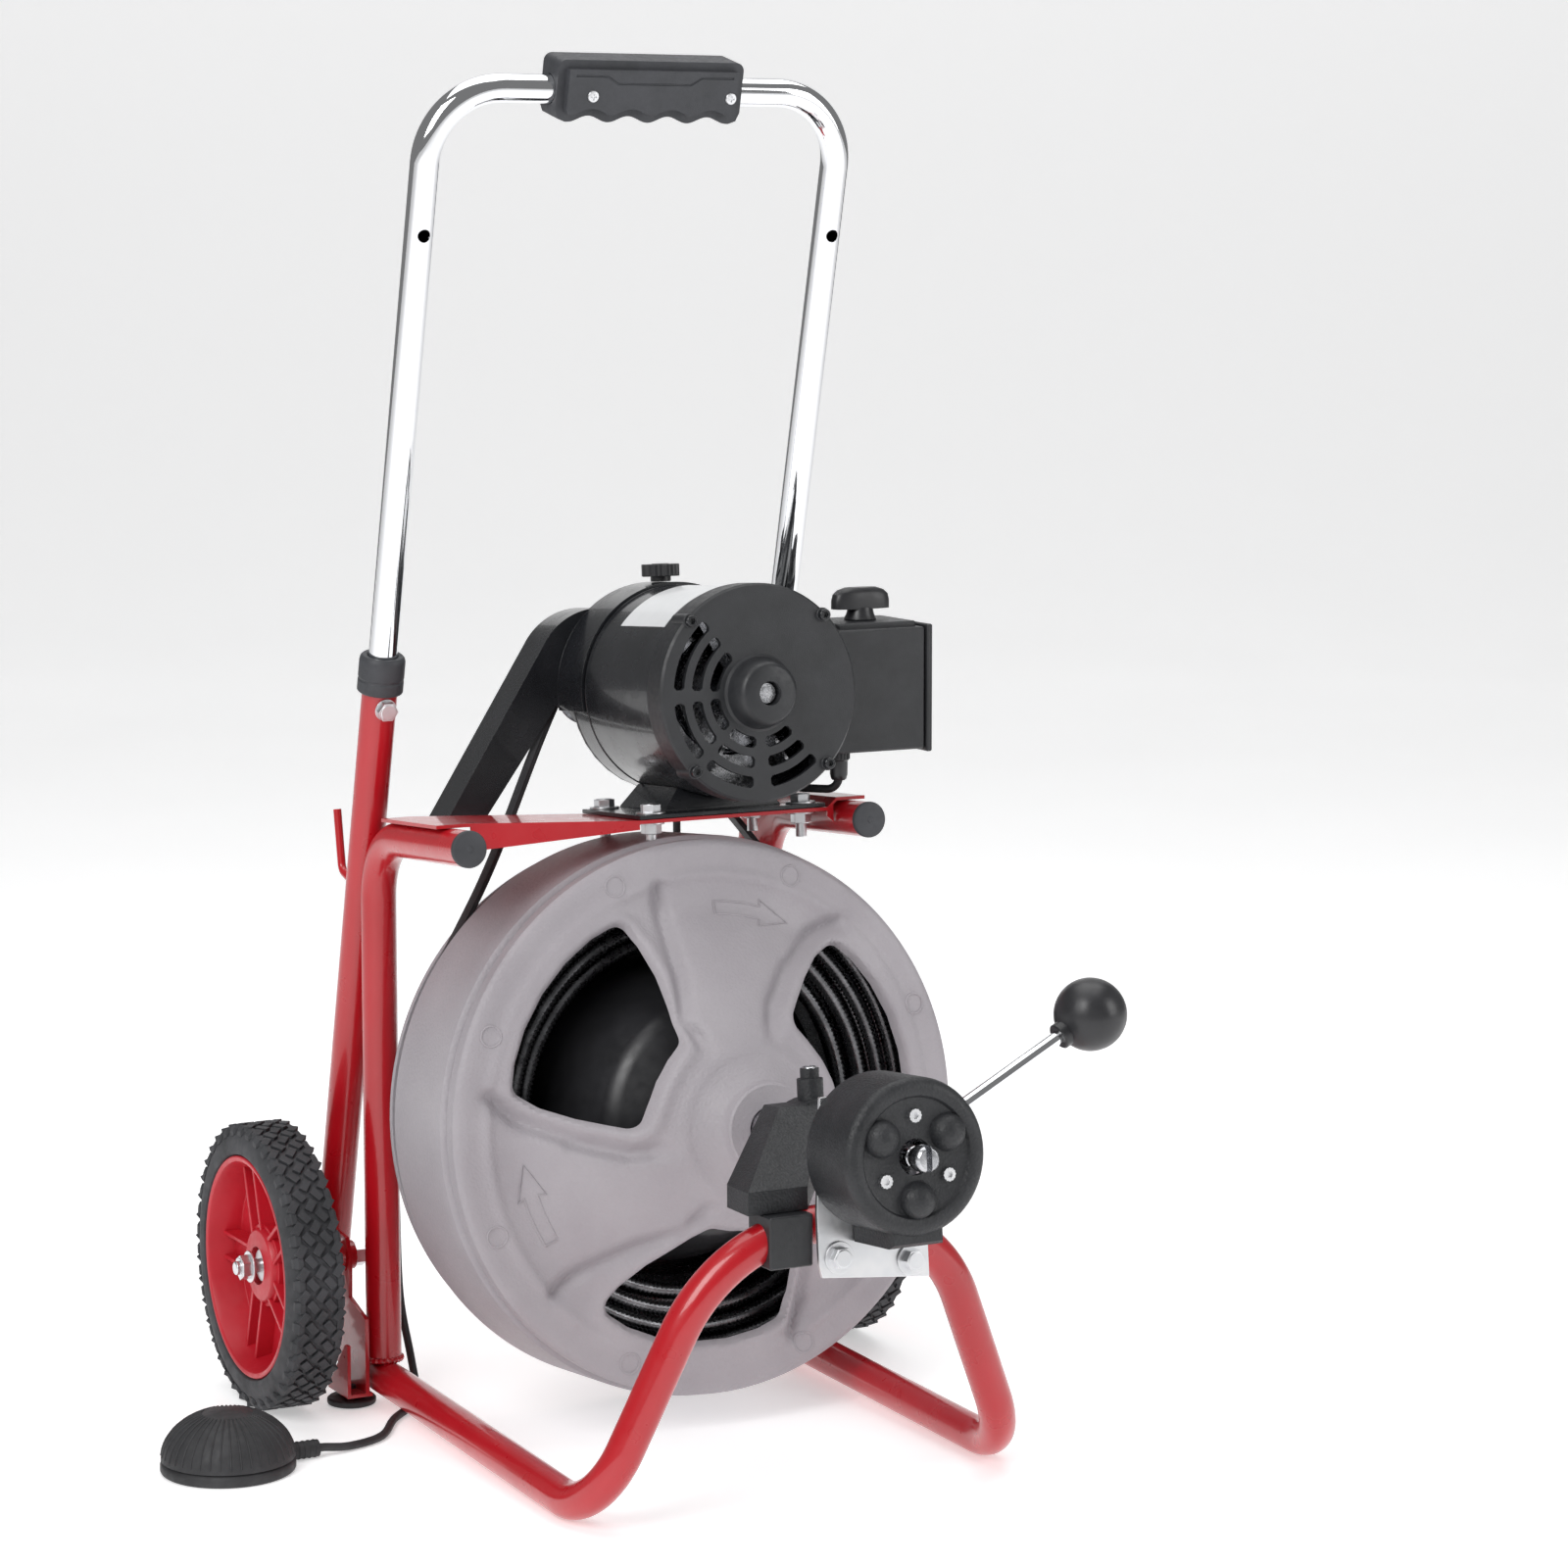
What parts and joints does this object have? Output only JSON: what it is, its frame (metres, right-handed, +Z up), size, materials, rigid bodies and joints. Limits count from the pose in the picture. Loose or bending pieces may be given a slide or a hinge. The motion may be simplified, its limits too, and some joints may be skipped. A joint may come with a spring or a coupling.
{
  "type": "drain snake machine",
  "caption": "Wheeled drain cleaning machine: tube frame, motor, belt-driven cable drum, cable feed with lever, telescopic handle and air foot pedal.",
  "frame": {"origin": "on the floor under the middle of the machine, without the foot pedal and its hose", "axes": "+X to the machine's right seen from the front, the cable comes out towards -Y, +Z up"},
  "size_m": [0.6193, 0.6142, 0.9683],
  "materials": {
    "red_paint": "glossy red powder coat",
    "chrome": "polished chrome plate",
    "zinc": "bright zinc plate",
    "black_paint": "satin black paint, finely textured on castings",
    "black_plastic": "moulded black plastic",
    "rubber": "black rubber",
    "tyre": "black moulded tyre with a block tread",
    "red_plastic": "red moulded plastic",
    "drum_plastic": "grained grey-lilac plastic",
    "wound_cable": "dark oiled spring cable"
  },
  "bodies": {
    "frame": {"base_frame": "red_paint", "left_post": "red_paint", "right_post": "red_paint", "left_handle_socket": "red_paint", "right_handle_socket": "red_paint", "rear_cross_tube": "red_paint", "motor_plate": "red_paint", "left_wheel_bracket": "red_paint", "right_wheel_bracket": "red_paint", "left_rubber_foot": "rubber", "right_rubber_foot": "rubber", "left_arm_cap": "black_plastic", "right_arm_cap": "black_plastic", "left_socket_collar": "black_plastic", "right_socket_collar": "black_plastic", "left_stub_axle": "zinc", "right_stub_axle": "zinc", "motor_base": "black_paint", "motor_shell": "black_paint", "motor_front_bell": "black_paint", "gear_case": "black_paint", "motor_stator": "zinc", "drive_belt": "rubber", "belt_guard": "black_paint", "switch_box": "black_paint", "switch_box_cover": "black_paint", "cable_gland": "black_plastic", "motor_lead": "rubber", "support_arm": "black_paint", "saddle_clamp": "black_plastic", "feed_bracket": "zinc", "feed_housing": "black_paint", "pedal_base": "rubber", "air_hose": "rubber"},
    "handle": {"handle_tube": "chrome", "grip_front_shell": "black_plastic", "grip_rear_shell": "black_plastic"},
    "left_wheel": {"left_tyre": "tyre", "left_wheel_rim": "red_plastic"},
    "right_wheel": {"right_tyre": "tyre", "right_wheel_rim": "red_plastic"},
    "left_lock_screw": {"left_lock_screw": "zinc"},
    "right_lock_screw": {"right_lock_screw": "zinc"},
    "guard_star_knob": {"guard_star_knob": "black_plastic"},
    "switch_knob": {"switch_knob": "black_plastic"},
    "rotor": {"rotor_shaft": "zinc"},
    "output": {"output_shaft": "zinc", "motor_pulley": "zinc"},
    "drum": {"drum_front_shell": "drum_plastic", "drum_rear_shell": "drum_plastic", "drum_inner_cone": "black_plastic", "cable_coil": "wound_cable", "nose_tube": "zinc"},
    "cable_end": {"cable_end": "zinc"},
    "feed_lever": {"feed_lever": "chrome", "feed_lever_ball": "black_plastic"},
    "feed_roller_1": {"feed_roller_1": "zinc"},
    "feed_roller_2": {"feed_roller_2": "zinc"},
    "feed_roller_3": {"feed_roller_3": "zinc"},
    "pedal_bulb": {"pedal_bulb": "rubber"}
  },
  "joints": [
    {"name": "handle_slide", "type": "slide", "parent": "frame", "child": "handle", "axis": [0, 0.238, -0.9713], "range_m": [0, 0.31]},
    {"name": "left_wheel_spin", "type": "hinge", "parent": "frame", "child": "left_wheel", "pos_m": [-0.2298, 0.2036, 0.1035], "axis": [1, 0, 0], "continuous": true},
    {"name": "right_wheel_spin", "type": "hinge", "parent": "frame", "child": "right_wheel", "pos_m": [0.2298, 0.2036, 0.1035], "axis": [1, 0, 0], "continuous": true},
    {"name": "left_lock_screw_turn", "type": "hinge", "parent": "frame", "child": "left_lock_screw", "pos_m": [-0.1585, 0.15716, 0.512], "axis": [0, -0.9713, -0.238], "range_deg": [0, 360]},
    {"name": "right_lock_screw_turn", "type": "hinge", "parent": "frame", "child": "right_lock_screw", "pos_m": [0.1585, 0.15716, 0.512], "axis": [0, -0.9713, -0.238], "range_deg": [0, 360]},
    {"name": "guard_knob_turn", "type": "hinge", "parent": "frame", "child": "guard_star_knob", "pos_m": [0.062, 0.15064, 0.59085], "axis": [0, 0.0698, 0.9976], "range_deg": [0, 360]},
    {"name": "switch_turn", "type": "hinge", "parent": "frame", "child": "switch_knob", "pos_m": [0.18, 0.0631, 0.5653], "axis": [0, 0, 1], "range_deg": [-45, 45]},
    {"name": "drum_spin", "type": "hinge", "parent": "frame", "child": "drum", "pos_m": [0.0265, 0.0031, 0.2233], "axis": [0, -0.9954, 0.0958], "continuous": true},
    {"name": "output_spin", "type": "hinge", "parent": "frame", "child": "output", "pos_m": [0.018, 0.17416, 0.51151], "axis": [0, -0.9976, 0.0698], "continuous": true},
    {"name": "rotor_spin", "type": "hinge", "parent": "frame", "child": "rotor", "pos_m": [0.062, -0.0044, 0.524], "axis": [0, -0.9976, 0.0698], "continuous": true},
    {"name": "cable_feed", "type": "slide", "parent": "drum", "child": "cable_end", "axis": [0, -0.9954, 0.0958], "range_m": [0, 0.12]},
    {"name": "feed_lever_swing", "type": "hinge", "parent": "frame", "child": "feed_lever", "pos_m": [0.0265, -0.26367, 0.24899], "axis": [0, -0.9954, 0.0958], "range_deg": [-18, 18]},
    {"name": "feed_roller_1_spin", "type": "hinge", "parent": "frame", "child": "feed_roller_1", "pos_m": [0.04295, -0.26077, 0.25825], "axis": [0.171, -0.9638, -0.2048], "continuous": true},
    {"name": "feed_roller_2_spin", "type": "hinge", "parent": "frame", "child": "feed_roller_2", "pos_m": [0.01005, -0.26077, 0.25825], "axis": [0.171, -0.907, 0.3849], "continuous": true},
    {"name": "feed_roller_3_spin", "type": "hinge", "parent": "frame", "child": "feed_roller_3", "pos_m": [0.0265, -0.2635, 0.22988], "axis": [-0.342, -0.9354, 0.0901], "continuous": true},
    {"name": "pedal_press", "type": "slide", "parent": "frame", "child": "pedal_bulb", "axis": [0, 0, -1], "range_m": [0, 0.012], "stiffness_N_per_m": 2500, "deforming": ["pedal_bulb"]}
  ],
  "couplings": [
    {"joint": "output_spin", "follows": "drum_spin", "ratio": 9.4},
    {"joint": "rotor_spin", "follows": "drum_spin", "ratio": -13.578}
  ]
}
